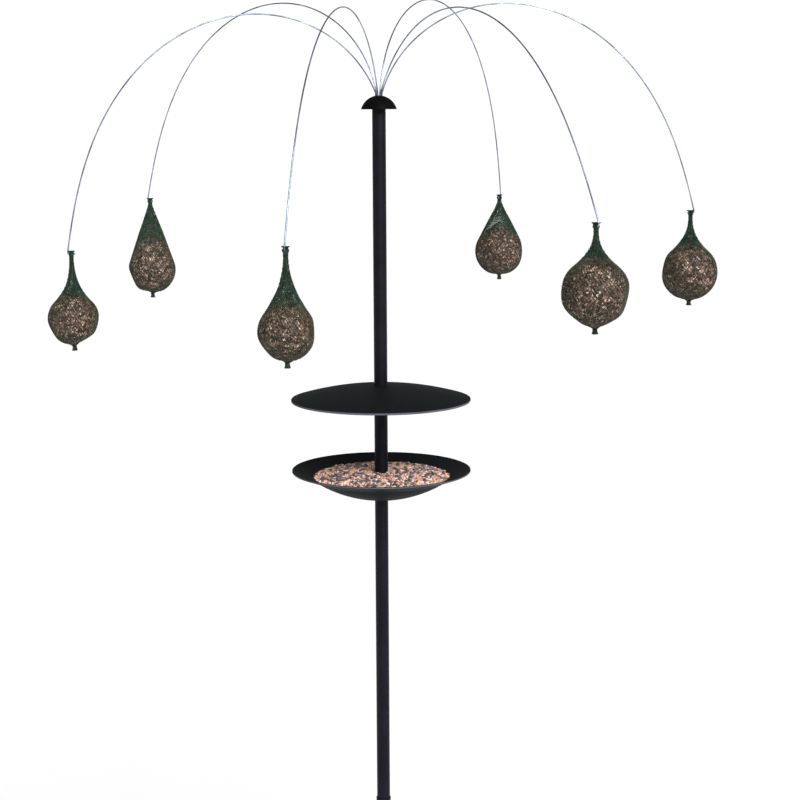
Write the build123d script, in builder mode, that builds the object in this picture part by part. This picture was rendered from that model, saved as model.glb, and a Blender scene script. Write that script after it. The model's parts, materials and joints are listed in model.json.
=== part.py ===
from build123d import *
from math import cos, radians, sin, sqrt
import os

# Bird feeder on a pole: six sprung wires with fat balls in nets, a domed roof and a seed tray.
# Millimetres. The origin is on the pole axis at ground level, +Z is up.

# ---- pole ----
TUBE_D = 16.0
TUBE_WALL = 1.0
SECTION_LENGTH = 885.0  # the upper tube, and the lower tube with its spike, pack side by side
TUBE_FIT = 0.05  # radial clearance of what slides on or into the tube

SLEEVE_LENGTH = 60.0
SLEEVE_WALL = 0.85
SLEEVE_CHAMFER = 0.3
RIVET_D = 3.2
RIVET_HEAD_D = 6.0
RIVET_HEAD_H = 1.2
RIVET_BELOW_JOINT = 15.0
RIVET_TAIL = 0.5  # how far the shank stands inside the tube's bore
RIVET_ROOT = 0.3  # how far the shank runs past the sleeve's face, into its head
RIVET_HEAD_GAP = 0.05

SPIKE_D = 12.0
SPIKE_LENGTH = 225.0
SPIKE_POINT = 40.0
SPIKE_TIP_D = 2.0
SPIKE_PLUG = 40.0
FOOT_FLANGE_D = 24.0
FOOT_FLANGE_H = 4.0
FOOT_CHAMFER = 0.6

# ---- dome cap and wire holder ----
CAP_D = 42.0
CAP_HEIGHT = 16.0
CAP_SOCKET = 12.0
HOLDER_LENGTH = 42.0
HOLE_RING_D = 7.5
FIRST_HOLE_ANGLE = 10.0
STEM_FIT = 0.05
STEM_END_GAP = 0.2
STEM_DEPTH = 35.0
CAP_HOLE_FIT = 0.45

# ---- spring wires ----
WIRE_D = 1.6
WIRE_LENGTH = 550.0
BEND_POWER = 1.6  # how strongly the bend gathers near the pole
STEM_STANDS_UP = 1.0
STEM_BEND_R = 8.0
FLEX_AT = 50.0
FLEX_GAP = 0.6
STEM_ARCS = 2
WIRE_ARCS = 11
HOOK_R = 4.0
HOOK_LOWEST_HEADING = 270.0
HOOK_END_HEADING = 340.0

# One row per arm: turn away from even spacing, lean where it leaves the cap, heading at its
# tip (both from straight up), fat ball diameter, length of the gathered net neck.
ARMS = [
    (-5.0, 17.0, 166.0, 66.0, 36.0),
    (-8.0, 7.0, 171.0, 64.0, 39.0),
    (14.0, 13.0, 166.0, 60.0, 58.0),
    (6.0, 23.0, 171.0, 57.0, 44.0),
    (7.0, 27.0, 161.0, 56.0, 50.0),
    (-10.5, 30.0, 154.0, 67.0, 30.0),
]

# ---- nets ----
NET_THICK = 0.6
NET_FIT = 0.2
NECK_TOP_R = 3.2
NECK_SPREAD = 36.0  # how far from the ball's top, in degrees, the neck lies on the ball
EYE_TUBE_R = 0.9
EYE_GAP = 0.3
EYE_R = 2.6
TAIL_R = 3.0
TAIL_LENGTH = 7.0

# ---- roof ----
ROOF_D = 215.0
ROOF_RISE = 16.0
ROOF_THICK = 2.0
ROOF_LIP = 2.5
EDGE_ROUND = 0.8
ROOF_BELOW_CAP = 341.5

# ---- tray ----
TRAY_D = 215.0
TRAY_THICK = 2.0
BOWL_R = 148.0
BOWL_MOUTH_D = 162.0
FLANGE_RISE = 10.0
TRAY_LIP = 2.5
MOUTH_ROUND = 6.0
TRAY_BELOW_CAP = 427.0
DRAIN_D = 3.5
DRAIN_COUNT = 8
DRAIN_RING_D = 70.0
SEED_BELOW_MOUTH = 0.5
SEED_FIT = 0.3

# ---- collars that clamp roof and tray to the pole ----
COLLAR_D = 24.0
COLLAR_FLANGE_D = 34.0
COLLAR_FLANGE_H = 2.5
COLLAR_HEIGHT = 17.0
COLLAR_SEAT_R = 19.0
COLLAR_SEAT_H = 1.5
PASSING_FIT = 0.3
SCREW_D = 4.0
SCREW_FIT = 0.05
SCREW_TIP_GAP = 0.1
SCREW_SOCKET_R = 1.1
SCREW_SOCKET_DEPTH = 2.0
SCREW_FROM_END = 6.0

# ---- worked out from the sizes above ----
tube_r = TUBE_D / 2
tube_bore_r = tube_r - TUBE_WALL
joint_z = SECTION_LENGTH - SPIKE_LENGTH
pole_top_z = joint_z + SECTION_LENGTH
cap_rim_z = pole_top_z - CAP_SOCKET
cap_r = CAP_D / 2
cap_sphere_r = (cap_r**2 + CAP_HEIGHT**2) / (2 * CAP_HEIGHT)
cap_top_z = cap_rim_z + CAP_HEIGHT
wire_r = WIRE_D / 2
stem_end_z = pole_top_z - STEM_DEPTH
stem_top_z = cap_top_z + STEM_STANDS_UP
pole_fit_r = tube_r + TUBE_FIT
hole_r = tube_r + PASSING_FIT
eye_drop = EYE_R - EYE_TUBE_R - wire_r - EYE_GAP


def export(builder, label):
    """Name a finished sub-part and write its STEP file."""
    builder.part.label = label
    export_step(builder.part, f"parts/{label}.step")


def ring(plane, outer_r, inner_r, height):
    """A straight-walled ring standing on the plane, in the current part."""
    with BuildSketch(plane) as profile:
        Circle(outer_r)
        Circle(inner_r, mode=Mode.SUBTRACT)
    extrude(profile.sketch, amount=height)


def cross_plane(line):
    """The plane square to a line at its start."""
    return Plane(origin=line @ 0, z_dir=line % 0)


os.makedirs("parts", exist_ok=True)

# ================ pole ================
with BuildPart() as pole_lower:
    ring(Plane.XY.offset(FOOT_FLANGE_H), tube_r, tube_bore_r, joint_z - FOOT_FLANGE_H)
    with Locations((0, 0, joint_z - RIVET_BELOW_JOINT)):
        Cylinder(RIVET_D / 2 + TUBE_FIT, 2 * TUBE_D, rotation=(90, 0, 0), mode=Mode.SUBTRACT)
export(pole_lower, "pole_lower")

with BuildPart() as pole_upper:
    ring(Plane.XY.offset(joint_z), tube_r, tube_bore_r, SECTION_LENGTH)
export(pole_upper, "pole_upper")

# The sleeve is riveted to the lower tube, and the upper tube drops into it.
sleeve_r = pole_fit_r + SLEEVE_WALL
with BuildPart() as joint_sleeve:
    ring(Plane.XY.offset(joint_z - SLEEVE_LENGTH / 2), sleeve_r, pole_fit_r, SLEEVE_LENGTH)
    sleeve_rims = joint_sleeve.edges().filter_by(GeomType.CIRCLE).group_by(SortBy.RADIUS)[-1]
    chamfer(sleeve_rims, SLEEVE_CHAMFER)
    with Locations((0, 0, joint_z - RIVET_BELOW_JOINT)):
        Cylinder(RIVET_D / 2 + TUBE_FIT, 2 * TUBE_D, rotation=(90, 0, 0), mode=Mode.SUBTRACT)
export(joint_sleeve, "joint_sleeve")

# Two blind rivets, front and back: a shank through both walls under a low domed head.
rivet_head_sphere = ((RIVET_HEAD_D / 2) ** 2 + RIVET_HEAD_H**2) / (2 * RIVET_HEAD_H)
rivet_z = joint_z - RIVET_BELOW_JOINT
rivet_foot = sleeve_r + RIVET_HEAD_GAP
rivet_crown = (rivet_foot + RIVET_HEAD_H, 0)
with BuildPart() as sleeve_rivets:
    for side in (-1, 1):
        tail_plane = Plane((0, 0, rivet_z), x_dir=(1, 0, 0), z_dir=(0, side, 0))
        with BuildSketch(tail_plane.offset(tube_bore_r - RIVET_TAIL)):
            Circle(RIVET_D / 2)
        extrude(amount=sleeve_r + RIVET_ROOT - tube_bore_r + RIVET_TAIL)
        with BuildSketch(Plane((0, 0, rivet_z), x_dir=(0, side, 0), z_dir=(1, 0, 0))):
            with BuildLine():
                foot = Line((rivet_foot, 0), (rivet_foot, RIVET_HEAD_D / 2))
                RadiusArc(foot @ 1, rivet_crown, rivet_head_sphere)
                Line(rivet_crown, foot @ 0)
            make_face()
        revolve(axis=Axis((0, 0, rivet_z), (0, side, 0)))
export(sleeve_rivets, "sleeve_rivets")

# The spike plugs into the lower tube, and its flange stops at the ground.
with BuildPart() as ground_spike:
    with BuildSketch(Plane.XZ):
        with BuildLine():
            Polyline(
                (0, FOOT_FLANGE_H + SPIKE_PLUG), (tube_bore_r - TUBE_FIT, FOOT_FLANGE_H + SPIKE_PLUG),
                (tube_bore_r - TUBE_FIT, FOOT_FLANGE_H), (FOOT_FLANGE_D / 2, FOOT_FLANGE_H),
                (FOOT_FLANGE_D / 2, 0), (SPIKE_D / 2, 0), (SPIKE_D / 2, SPIKE_POINT - SPIKE_LENGTH),
                (SPIKE_TIP_D / 2, -SPIKE_LENGTH), (0, -SPIKE_LENGTH), close=True,
            )
        make_face()
    revolve(axis=Axis.Z)
    foot_rims = ground_spike.edges().filter_by(GeomType.CIRCLE).group_by(SortBy.RADIUS)[-1]
    chamfer(foot_rims, FOOT_CHAMFER)
export(ground_spike, "ground_spike")

# ================ dome cap and wire holder ================
with BuildPart() as dome_cap:
    with BuildSketch(Plane.XZ):
        with BuildLine():
            rim = Line((0, cap_rim_z), (cap_r, cap_rim_z))
            RadiusArc(rim @ 1, (0, cap_top_z), -cap_sphere_r)
            Line((0, cap_top_z), rim @ 0)
        make_face()
    revolve(axis=Axis.Z)
    with BuildSketch(Plane.XY.offset(cap_rim_z)):
        Circle(pole_fit_r)
    extrude(amount=CAP_SOCKET, mode=Mode.SUBTRACT)
    with BuildSketch(Plane.XY.offset(pole_top_z)):
        with PolarLocations(HOLE_RING_D / 2, len(ARMS), start_angle=FIRST_HOLE_ANGLE):
            Circle(wire_r + CAP_HOLE_FIT)
    extrude(amount=CAP_HEIGHT, mode=Mode.SUBTRACT)
export(dome_cap, "dome_cap")

with BuildPart() as wire_holder:
    with BuildSketch(Plane.XY.offset(pole_top_z - HOLDER_LENGTH)):
        Circle(tube_bore_r - TUBE_FIT)
    extrude(amount=HOLDER_LENGTH)
    with BuildSketch(Plane.XY.offset(stem_end_z - STEM_END_GAP)):
        with PolarLocations(HOLE_RING_D / 2, len(ARMS), start_angle=FIRST_HOLE_ANGLE):
            Circle(wire_r + STEM_FIT)
    extrude(amount=STEM_DEPTH + STEM_END_GAP, mode=Mode.SUBTRACT)
export(wire_holder, "wire_holder")


# ================ wires, nets and fat balls ================
def heading(s, lean, tip):
    """The wire's heading from straight up, in degrees, at length s along it."""
    return lean + (tip - lean) * (1 - (1 - s / WIRE_LENGTH) ** BEND_POWER)


def bent_wire(first, s_from, s_to, count, lean, tip):
    """Chain tangent arcs after the line `first`, and return the last one."""
    step = (s_to - s_from) / count
    last = first
    for i in range(count):
        s = s_from + i * step
        turn = heading(s + step, lean, tip) - heading(s, lean, tip)
        last = JernArc(last @ 1, last % 1, step / radians(turn), -turn)
    return last


for number, (turned, lean, tip, ball_d, neck) in enumerate(ARMS, start=1):
    hole_angle = FIRST_HOLE_ANGLE + (number - 1) * 360 / len(ARMS)
    azimuth = radians(hole_angle + turned)
    hole_x = HOLE_RING_D / 2 * cos(radians(hole_angle))
    hole_y = HOLE_RING_D / 2 * sin(radians(hole_angle))
    # The arm's own upright plane: x runs outwards, y runs up, and the stem is at x = 0.
    outwards = (cos(azimuth), sin(azimuth), 0)
    sideways = (sin(azimuth), -cos(azimuth), 0)
    arm_plane = Plane(origin=(hole_x, hole_y, 0), x_dir=outwards, z_dir=sideways)

    with BuildPart() as wire_stem:
        with BuildLine(arm_plane) as stem_path:
            straight = Line((0, stem_end_z), (0, stem_top_z))
            bend = JernArc(straight @ 1, straight % 1, STEM_BEND_R, -lean)
            stem_tip = bent_wire(bend, 0, FLEX_AT, STEM_ARCS, lean, tip)
        flex_point = stem_tip @ 1
        flex_dir = stem_tip % 1
        with BuildSketch(cross_plane(stem_path.line)):
            Circle(wire_r)
        sweep()
    export(wire_stem, f"wire_{number}_stem")

    # The rest of the same wire, on the far side of the point where it flexes.
    with BuildPart() as wire:
        with BuildLine(arm_plane) as wire_path:
            start = arm_plane.to_local_coords(flex_point + flex_dir * FLEX_GAP)
            run = arm_plane.to_local_coords(flex_point + flex_dir * (FLEX_GAP + 1))
            lead = Line((start.X, start.Y), (run.X, run.Y))
            wire_end = bent_wire(lead, FLEX_AT, WIRE_LENGTH, WIRE_ARCS, lean, tip)
            hook_down = JernArc(wire_end @ 1, wire_end % 1, HOOK_R, tip - HOOK_LOWEST_HEADING)
            JernArc(hook_down @ 1, hook_down % 1, HOOK_R, HOOK_LOWEST_HEADING - HOOK_END_HEADING)
        hook_bottom = hook_down @ 1
        with BuildSketch(cross_plane(wire_path.line)):
            Circle(wire_r)
        sweep()
    export(wire, f"wire_{number}")

    # The net hangs by an eye round the lowest point of the hook, and its gathered neck runs
    # straight down before it spreads over the ball.
    eye_centre = hook_bottom - Vector(0, 0, eye_drop)
    neck_top_z = eye_centre.Z - EYE_R
    ball_r = ball_d / 2
    net_in_r = ball_r + NET_FIT
    net_r = net_in_r + NET_THICK
    ball_z = hook_bottom.Z - neck - ball_r
    neck_rise = neck_top_z - ball_z
    spread = (sin(radians(NECK_SPREAD)), cos(radians(NECK_SPREAD)))
    neck_foot = (net_r * spread[0], net_r * spread[1])
    tail_side = sqrt(net_r**2 - TAIL_R**2)
    net_plane = Plane((hook_bottom.X, hook_bottom.Y, ball_z), x_dir=outwards, z_dir=sideways)
    net_axis = Axis(net_plane.origin, (0, 0, 1))

    with BuildPart() as net:
        with BuildSketch(net_plane):
            with BuildLine():
                Line((0, neck_rise), (NECK_TOP_R, neck_rise))
                Spline((NECK_TOP_R, neck_rise), neck_foot, tangents=[(0, -1), (spread[1], -spread[0])])
                ThreePointArc(neck_foot, (net_r, 0), (TAIL_R, -tail_side))
                Polyline((TAIL_R, -tail_side), (TAIL_R, -net_r - TAIL_LENGTH), (0, -net_r - TAIL_LENGTH))
                Line((0, -net_r - TAIL_LENGTH), (0, neck_rise))
            make_face()
        revolve(axis=net_axis)
        with Locations(net_plane.origin):
            Sphere(net_in_r, mode=Mode.SUBTRACT)
        with Locations(Location(Plane(eye_centre, x_dir=(0, 0, 1), z_dir=arm_plane.x_dir))):
            Torus(EYE_R, EYE_TUBE_R)
    export(net, f"net_{number}")

    with BuildPart() as fat_ball:
        with Locations(net_plane.origin):
            Sphere(ball_r)
    export(fat_ball, f"fat_ball_{number}")


# ================ roof ================
def clamp_collar(seat):
    """A flanged collar bored for the pole, standing on the seat plane, in the current part."""
    ring(seat, COLLAR_FLANGE_D / 2, pole_fit_r, COLLAR_FLANGE_H)
    ring(seat, COLLAR_D / 2, pole_fit_r, COLLAR_HEIGHT)
    with BuildSketch(screw_plane(seat)) as screw_hole:
        Circle(SCREW_D / 2 + SCREW_FIT)
    extrude(screw_hole.sketch, amount=COLLAR_D, mode=Mode.SUBTRACT)


def screw_plane(seat):
    """The plane square to the collar's grub screw, through the pole axis."""
    height = seat.origin.Z + seat.z_dir.Z * (COLLAR_HEIGHT - SCREW_FROM_END)
    return Plane((0, 0, height), x_dir=(1, 0, 0), z_dir=(0, 1, 0))


def grub_screw(seat):
    """The collar's grub screw with its hexagon socket, in the current part."""
    tip_r = tube_r + SCREW_TIP_GAP
    with BuildSketch(screw_plane(seat).offset(tip_r)) as shank:
        Circle(SCREW_D / 2)
    extrude(shank.sketch, amount=COLLAR_D / 2 - tip_r)
    with BuildSketch(screw_plane(seat).offset(COLLAR_D / 2 - SCREW_SOCKET_DEPTH)) as socket:
        RegularPolygon(SCREW_SOCKET_R, 6)
    extrude(socket.sketch, amount=SCREW_SOCKET_DEPTH, mode=Mode.SUBTRACT)


roof_r = ROOF_D / 2
roof_rim_z = cap_rim_z - ROOF_BELOW_CAP
roof_sphere_r = (roof_r**2 + ROOF_RISE**2) / (2 * ROOF_RISE)
roof_top_z = roof_rim_z + ROOF_RISE
roof_in_r = roof_r - ROOF_THICK
roof_sphere_z = roof_top_z - roof_sphere_r
roof_seat_z = roof_top_z - ROOF_THICK - COLLAR_SEAT_H


def roof_z(r, depth=0):
    """Height of the roof's dome at radius r, at a depth under its outer face."""
    return roof_sphere_z + sqrt((roof_sphere_r - depth) ** 2 - r**2)


with BuildPart() as roof_disc:
    with BuildSketch(Plane.XZ) as roof_profile:
        with BuildLine():
            dome = RadiusArc((hole_r, roof_z(hole_r)), (roof_r, roof_rim_z), roof_sphere_r)
            lip = Polyline(
                dome @ 1, (roof_r, roof_rim_z - ROOF_LIP), (roof_in_r, roof_rim_z - ROOF_LIP),
                (roof_in_r, roof_z(roof_in_r, ROOF_THICK)),
            )
            seat_edge = (COLLAR_SEAT_R, roof_z(COLLAR_SEAT_R, ROOF_THICK))
            RadiusArc(lip @ 1, seat_edge, ROOF_THICK - roof_sphere_r)
            Polyline(seat_edge, (COLLAR_SEAT_R, roof_seat_z), (hole_r, roof_seat_z), dome @ 0)
        make_face()
        fillet(roof_profile.vertices().group_by(Axis.X)[-1], EDGE_ROUND)
    revolve(axis=Axis.Z)
export(roof_disc, "roof_disc")

roof_seat = Plane((0, 0, roof_seat_z), x_dir=(1, 0, 0), z_dir=(0, 0, -1))
with BuildPart() as roof_collar:
    clamp_collar(roof_seat)
export(roof_collar, "roof_collar")

with BuildPart() as roof_screw:
    grub_screw(roof_seat)
export(roof_screw, "roof_screw")

# ================ tray ================
tray_r = TRAY_D / 2
mouth_r = BOWL_MOUTH_D / 2
tray_rim_z = cap_rim_z - TRAY_BELOW_CAP
mouth_z = tray_rim_z - FLANGE_RISE
bowl_in_r = BOWL_R - TRAY_THICK
bowl_centre_z = mouth_z + sqrt(bowl_in_r**2 - mouth_r**2)
bowl_floor_z = bowl_centre_z - bowl_in_r
bowl_out_r = mouth_r + TRAY_THICK * mouth_r / bowl_in_r
tray_seat_z = bowl_floor_z + COLLAR_SEAT_H


def bowl_z(r, sphere_r):
    """Height of a bowl face at radius r, where sphere_r is that face's own sphere radius."""
    return bowl_centre_z - sqrt(sphere_r**2 - r**2)


with BuildPart() as tray_bowl:
    with BuildSketch(Plane.XZ) as tray_profile:
        with BuildLine():
            inner_foot = (COLLAR_SEAT_R, bowl_z(COLLAR_SEAT_R, bowl_in_r))
            outer_mouth = (bowl_out_r, bowl_z(bowl_out_r, BOWL_R))
            outer_foot = (hole_r, bowl_z(hole_r, BOWL_R))
            RadiusArc(inner_foot, (mouth_r, mouth_z), -bowl_in_r)
            Polyline((mouth_r, mouth_z), (tray_r, tray_rim_z), (tray_r, tray_rim_z - TRAY_LIP), outer_mouth)
            RadiusArc(outer_mouth, outer_foot, BOWL_R)
            Polyline(outer_foot, (hole_r, tray_seat_z), (COLLAR_SEAT_R, tray_seat_z), inner_foot)
        make_face()
        fillet(tray_profile.vertices().group_by(Axis.X)[-1], EDGE_ROUND)
        for corner in ((mouth_r, mouth_z), outer_mouth):
            fillet(tray_profile.vertices().sort_by_distance((*corner, 0))[0], MOUTH_ROUND)
    revolve(axis=Axis.Z)
    with BuildSketch(Plane.XY.offset(bowl_floor_z - TRAY_THICK)):
        with PolarLocations(DRAIN_RING_D / 2, DRAIN_COUNT):
            Circle(DRAIN_D / 2)
    extrude(amount=mouth_z - bowl_floor_z, mode=Mode.SUBTRACT)
export(tray_bowl, "tray_bowl")

tray_seat = Plane.XY.offset(tray_seat_z)
with BuildPart() as tray_collar:
    clamp_collar(tray_seat)
export(tray_collar, "tray_collar")

with BuildPart() as tray_screw:
    grub_screw(tray_seat)
export(tray_screw, "tray_screw")

# The seed fills the bowl to its mouth and stands round the collar.
seed_top_z = mouth_z - SEED_BELOW_MOUTH
seed_in_r = bowl_in_r - SEED_FIT
seed_r = sqrt(seed_in_r**2 - (bowl_centre_z - seed_top_z) ** 2)
flange_clear_r = COLLAR_SEAT_R + SEED_FIT
flange_clear_z = tray_seat_z + COLLAR_FLANGE_H + SEED_FIT
seed_low_z = bowl_z(flange_clear_r, seed_in_r)
collar_clear_r = COLLAR_D / 2 + SEED_FIT

with BuildPart() as seed_fill:
    with BuildSketch(Plane.XZ):
        with BuildLine():
            Polyline(
                (seed_r, seed_top_z), (collar_clear_r, seed_top_z), (collar_clear_r, flange_clear_z),
                (flange_clear_r, flange_clear_z), (flange_clear_r, seed_low_z),
            )
            RadiusArc((flange_clear_r, seed_low_z), (seed_r, seed_top_z), -seed_in_r)
        make_face()
    revolve(axis=Axis.Z)
export(seed_fill, "seed_fill")
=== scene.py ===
"""Garden bird feeder on a pole, built as a visual model around its CAD frame.

Six sprung wires leave a dome cap and hang fat balls in knitted nets. Below them a domed roof
shelters a tray of loose seed. Lengths are in metres, +Z is up and the ground is at z = 0.
"""

import json
import math
from random import Random

import bmesh
import bpy
import numpy as np
from mathutils import Matrix, Vector, noise


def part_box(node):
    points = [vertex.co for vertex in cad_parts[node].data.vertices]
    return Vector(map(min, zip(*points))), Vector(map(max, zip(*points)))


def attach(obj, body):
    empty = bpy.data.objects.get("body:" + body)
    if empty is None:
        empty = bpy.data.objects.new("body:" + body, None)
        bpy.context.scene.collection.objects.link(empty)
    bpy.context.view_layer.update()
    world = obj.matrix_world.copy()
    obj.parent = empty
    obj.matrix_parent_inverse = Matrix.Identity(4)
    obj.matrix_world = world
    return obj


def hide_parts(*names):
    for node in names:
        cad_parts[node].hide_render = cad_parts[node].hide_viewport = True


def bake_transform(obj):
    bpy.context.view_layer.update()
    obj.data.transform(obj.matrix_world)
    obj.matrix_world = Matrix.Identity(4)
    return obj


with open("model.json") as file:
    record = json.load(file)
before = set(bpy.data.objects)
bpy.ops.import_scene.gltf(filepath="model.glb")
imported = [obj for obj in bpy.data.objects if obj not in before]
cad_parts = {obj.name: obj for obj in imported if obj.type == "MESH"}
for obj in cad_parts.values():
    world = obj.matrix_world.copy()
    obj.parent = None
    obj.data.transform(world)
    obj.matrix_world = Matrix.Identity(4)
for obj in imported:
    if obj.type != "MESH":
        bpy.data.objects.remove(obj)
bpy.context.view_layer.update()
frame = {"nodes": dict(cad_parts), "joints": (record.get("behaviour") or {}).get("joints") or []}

bl_info = {
    "name": "Pole Bird Feeder",
    "version": (1, 0, 0),
    "blender": (4, 5, 0),
    "location": "3D View > Sidebar > Feeder",
    "description": "Sprung wires, netted fat balls, loose seed and finishes for a pole feeder",
    "category": "Add Mesh",
}

MM = 0.001
UP = Vector((0, 0, 1))

# How each arm leaves the cap and how its tip points, in degrees from straight up, how far the
# net's neck hangs free of its ball (0 hugs the ball, 1 runs straight to it), and how much of the
# neck the suet fills.
ARMS = (
    (17.0, 166.0, 0.35, 0.35),
    (7.0, 171.0, 0.95, 0.22),
    (13.0, 166.0, 1.0, 0.85),
    (23.0, 171.0, 0.4, 0.3),
    (27.0, 161.0, 0.6, 0.35),
    (30.0, 154.0, 0.3, 0.5),
)
JOINTS = {joint["name"]: joint for joint in frame["joints"]}

# A net's neck is narrowest at its throat, just under the hook's eye. A net that hugs its ball
# leaves it at HUG_ANGLE from the top, and every net lies on its ball down to TAIL_ANGLE.
THROAT_R, THROAT_DROP = 2.5 * MM, 2.6 * MM
HUG_ANGLE, TAIL_ANGLE = math.radians(30), math.radians(168)
NECK_POINTS, BALL_STEPS = 13, 40
# The cut end above the knot: its radius as a share of the tuft's, and its height above the
# swing joint. The tail: its radius, and its depth below the ball.
TUFT = ((1.0, 1.0 * MM), (0.62, -0.4 * MM), (0.5, -1.6 * MM))
TAIL = ((2.2 * MM, 1.6 * MM), (1.9 * MM, 2.8 * MM), (3.0 * MM, 5.0 * MM), (3.4 * MM, 6.6 * MM))
# Twine is wound round the knot and the tail: its radius there and its place.
KNOT_R, KNOT_DROP = 1.9 * MM, 1.6 * MM
TAIL_TIE_R, TAIL_TIE_DROP = 2.2 * MM, 3.2 * MM
TWINE_D, TWINE_TURNS, TWINE_RISE = 0.75 * MM, 3, 0.35 * MM
HOOK_ROOM = 0.75 * MM  # what the strands beside the hook leave free on each side of its wire
HOOK_REACH = 1.6 * MM  # how far inside and outside the hook's arc strands stand aside

# The sides on which a ball is pressed flat: how many, how sharp their edges are, and how far out
# each lies as a share of the radius.
FLAT_SIDES, FLAT_SHARPNESS, FLAT_RANGE = 9, 26.0, (0.9, 0.97)
SUET_INSET = 0.6 * MM  # how far the suet stays inside the round ball, under the strands
LUMP_SCALES = (3.2, 9.0)  # lumps and crumbs for each radius of the ball

WIRE_STEPS = 550  # steps in which the wire's bend is followed
WIRE_KEPT = 5  # every so many steps a point is kept
WIRE_SIDES, HOOK_STEPS, FOOT_STEPS = 12, 16, 6

SEED_GAP, BED_GAP = 0.3 * MM, 0.4 * MM  # what grains and their bed leave free round steel
TOP_RINGS, UNDER_RINGS, BED_SIDES = 30, 8, 96

FLOOR_REACH = 30.0
KEY_DIRECTION, KEY_ANGLE = (-0.4, 0.8, -0.55), math.radians(35)
CAMERA_PLACE, CAMERA_SHIFT = (0.0, -2.0455, 1.5218), 0.0239
CAMERA_PITCH, CAMERA_ROLL = math.radians(-9.226), math.radians(-0.395)


# ---------------------------------------------------------------- small tools


def linear(code):
    """An sRGB hex colour as a linear RGBA tuple."""
    levels = [int(code[i : i + 2], 16) / 255 for i in (1, 3, 5)]
    return (*[c / 12.92 if c <= 0.04045 else ((c + 0.055) / 1.055) ** 2.4 for c in levels], 1.0)


def feed(tree, node, inputs):
    """Set or link a node's inputs from (socket, value) pairs. A node links its first output."""
    for socket, value in inputs:
        if isinstance(value, bpy.types.Node):
            value = value.outputs[0]
        if isinstance(value, bpy.types.NodeSocket):
            tree.links.new(value, node.inputs[socket])
        else:
            node.inputs[socket].default_value = value


def add_node(tree, kind, inputs=(), stops=(), **settings):
    """Add a node, set its properties and the stops of its ramp, and feed its inputs."""
    node = tree.nodes.new(kind)
    for name, value in settings.items():
        setattr(node, name, value)
    for i, (position, code) in enumerate(stops):
        if i == len(node.color_ramp.elements):
            node.color_ramp.elements.new(position)
        node.color_ramp.elements[i].position = position
        node.color_ramp.elements[i].color = linear(code)
    feed(tree, node, inputs)
    return node


def new_object(name, mesh):
    """An object at the origin that shows the mesh."""
    piece = bpy.data.objects.new(name, mesh)
    bpy.context.scene.collection.objects.link(piece)
    return piece


def mesh_of(name, points, faces=(), edges=()):
    """A mesh from points, and from faces or edges."""
    mesh = bpy.data.meshes.new(name)
    mesh.from_pydata([tuple(p) for p in points], list(edges), list(faces))
    mesh.update()
    return mesh


def line_mesh(name, points):
    """Points joined in order by edges."""
    return mesh_of(name, points, edges=[(i, i + 1) for i in range(len(points) - 1)])


def grown(name, base, tree, sizes):
    """The mesh that a node tree grows on the base mesh, with the tree's inputs set by name."""
    carrier = new_object(name, base)
    modifier = carrier.modifiers.new(tree.name, "NODES")
    modifier.node_group = tree
    for item in tree.interface.items_tree:
        if item.in_out == "INPUT" and item.name in sizes:
            modifier[item.identifier] = sizes[item.name]
    depsgraph = bpy.context.evaluated_depsgraph_get()
    evaluated = carrier.evaluated_get(depsgraph)
    mesh = bpy.data.meshes.new_from_object(
        evaluated, preserve_all_data_layers=True, depsgraph=depsgraph
    )
    if not mesh.polygons:
        raise RuntimeError(f"{tree.name} grew nothing for {name}")
    bpy.data.objects.remove(carrier)
    bpy.data.meshes.remove(base)
    mesh.name = name
    return mesh


def joined(name, meshes):
    """One mesh that holds them all, with the first one's materials."""
    parts = [new_object(f"{name}_{i}", mesh) for i, mesh in enumerate(meshes)]
    with bpy.context.temp_override(active_object=parts[0], selected_editable_objects=parts):
        bpy.ops.object.join()
    mesh = parts[0].data
    bpy.data.objects.remove(parts[0])
    mesh.name = name
    return mesh


def vertices(mesh):
    """A mesh's points as an array of rows."""
    flat = np.empty(len(mesh.vertices) * 3, np.float32)
    mesh.vertices.foreach_get("co", flat)
    return flat.reshape(-1, 3).astype(float)


def set_vertices(mesh, rows):
    mesh.vertices.foreach_set("co", rows.astype(np.float32).ravel())
    mesh.update()


def smoothstep(low, high, x):
    t = np.clip((x - low) / (high - low), 0, 1)
    return t * t * (3 - 2 * t)


# ---------------------------------------------------------------- node trees that repeat a shape


def new_tree(name, sockets):
    """A geometry tree with its named inputs, and its input and output nodes."""
    tree = bpy.data.node_groups.new(name, "GeometryNodeTree")
    tree.interface.new_socket("Geometry", in_out="INPUT", socket_type="NodeSocketGeometry")
    for label, kind, default in sockets:
        socket = tree.interface.new_socket(label, in_out="INPUT", socket_type=kind)
        if default is not None:
            socket.default_value = default
    tree.interface.new_socket("Geometry", in_out="OUTPUT", socket_type="NodeSocketGeometry")
    return tree, tree.nodes.new("NodeGroupInput").outputs, tree.nodes.new("NodeGroupOutput")


def close_tree(tree, geometry, finish, output):
    """End a tree in smooth shading, Realize Instances and Set Material."""
    smooth = add_node(tree, "GeometryNodeSetShadeSmooth", [("Geometry", geometry)])
    real = add_node(tree, "GeometryNodeRealizeInstances", [("Geometry", smooth)])
    coat = add_node(tree, "GeometryNodeSetMaterial", [("Geometry", real), ("Material", finish)])
    feed(tree, output, [(0, coat)])


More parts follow.
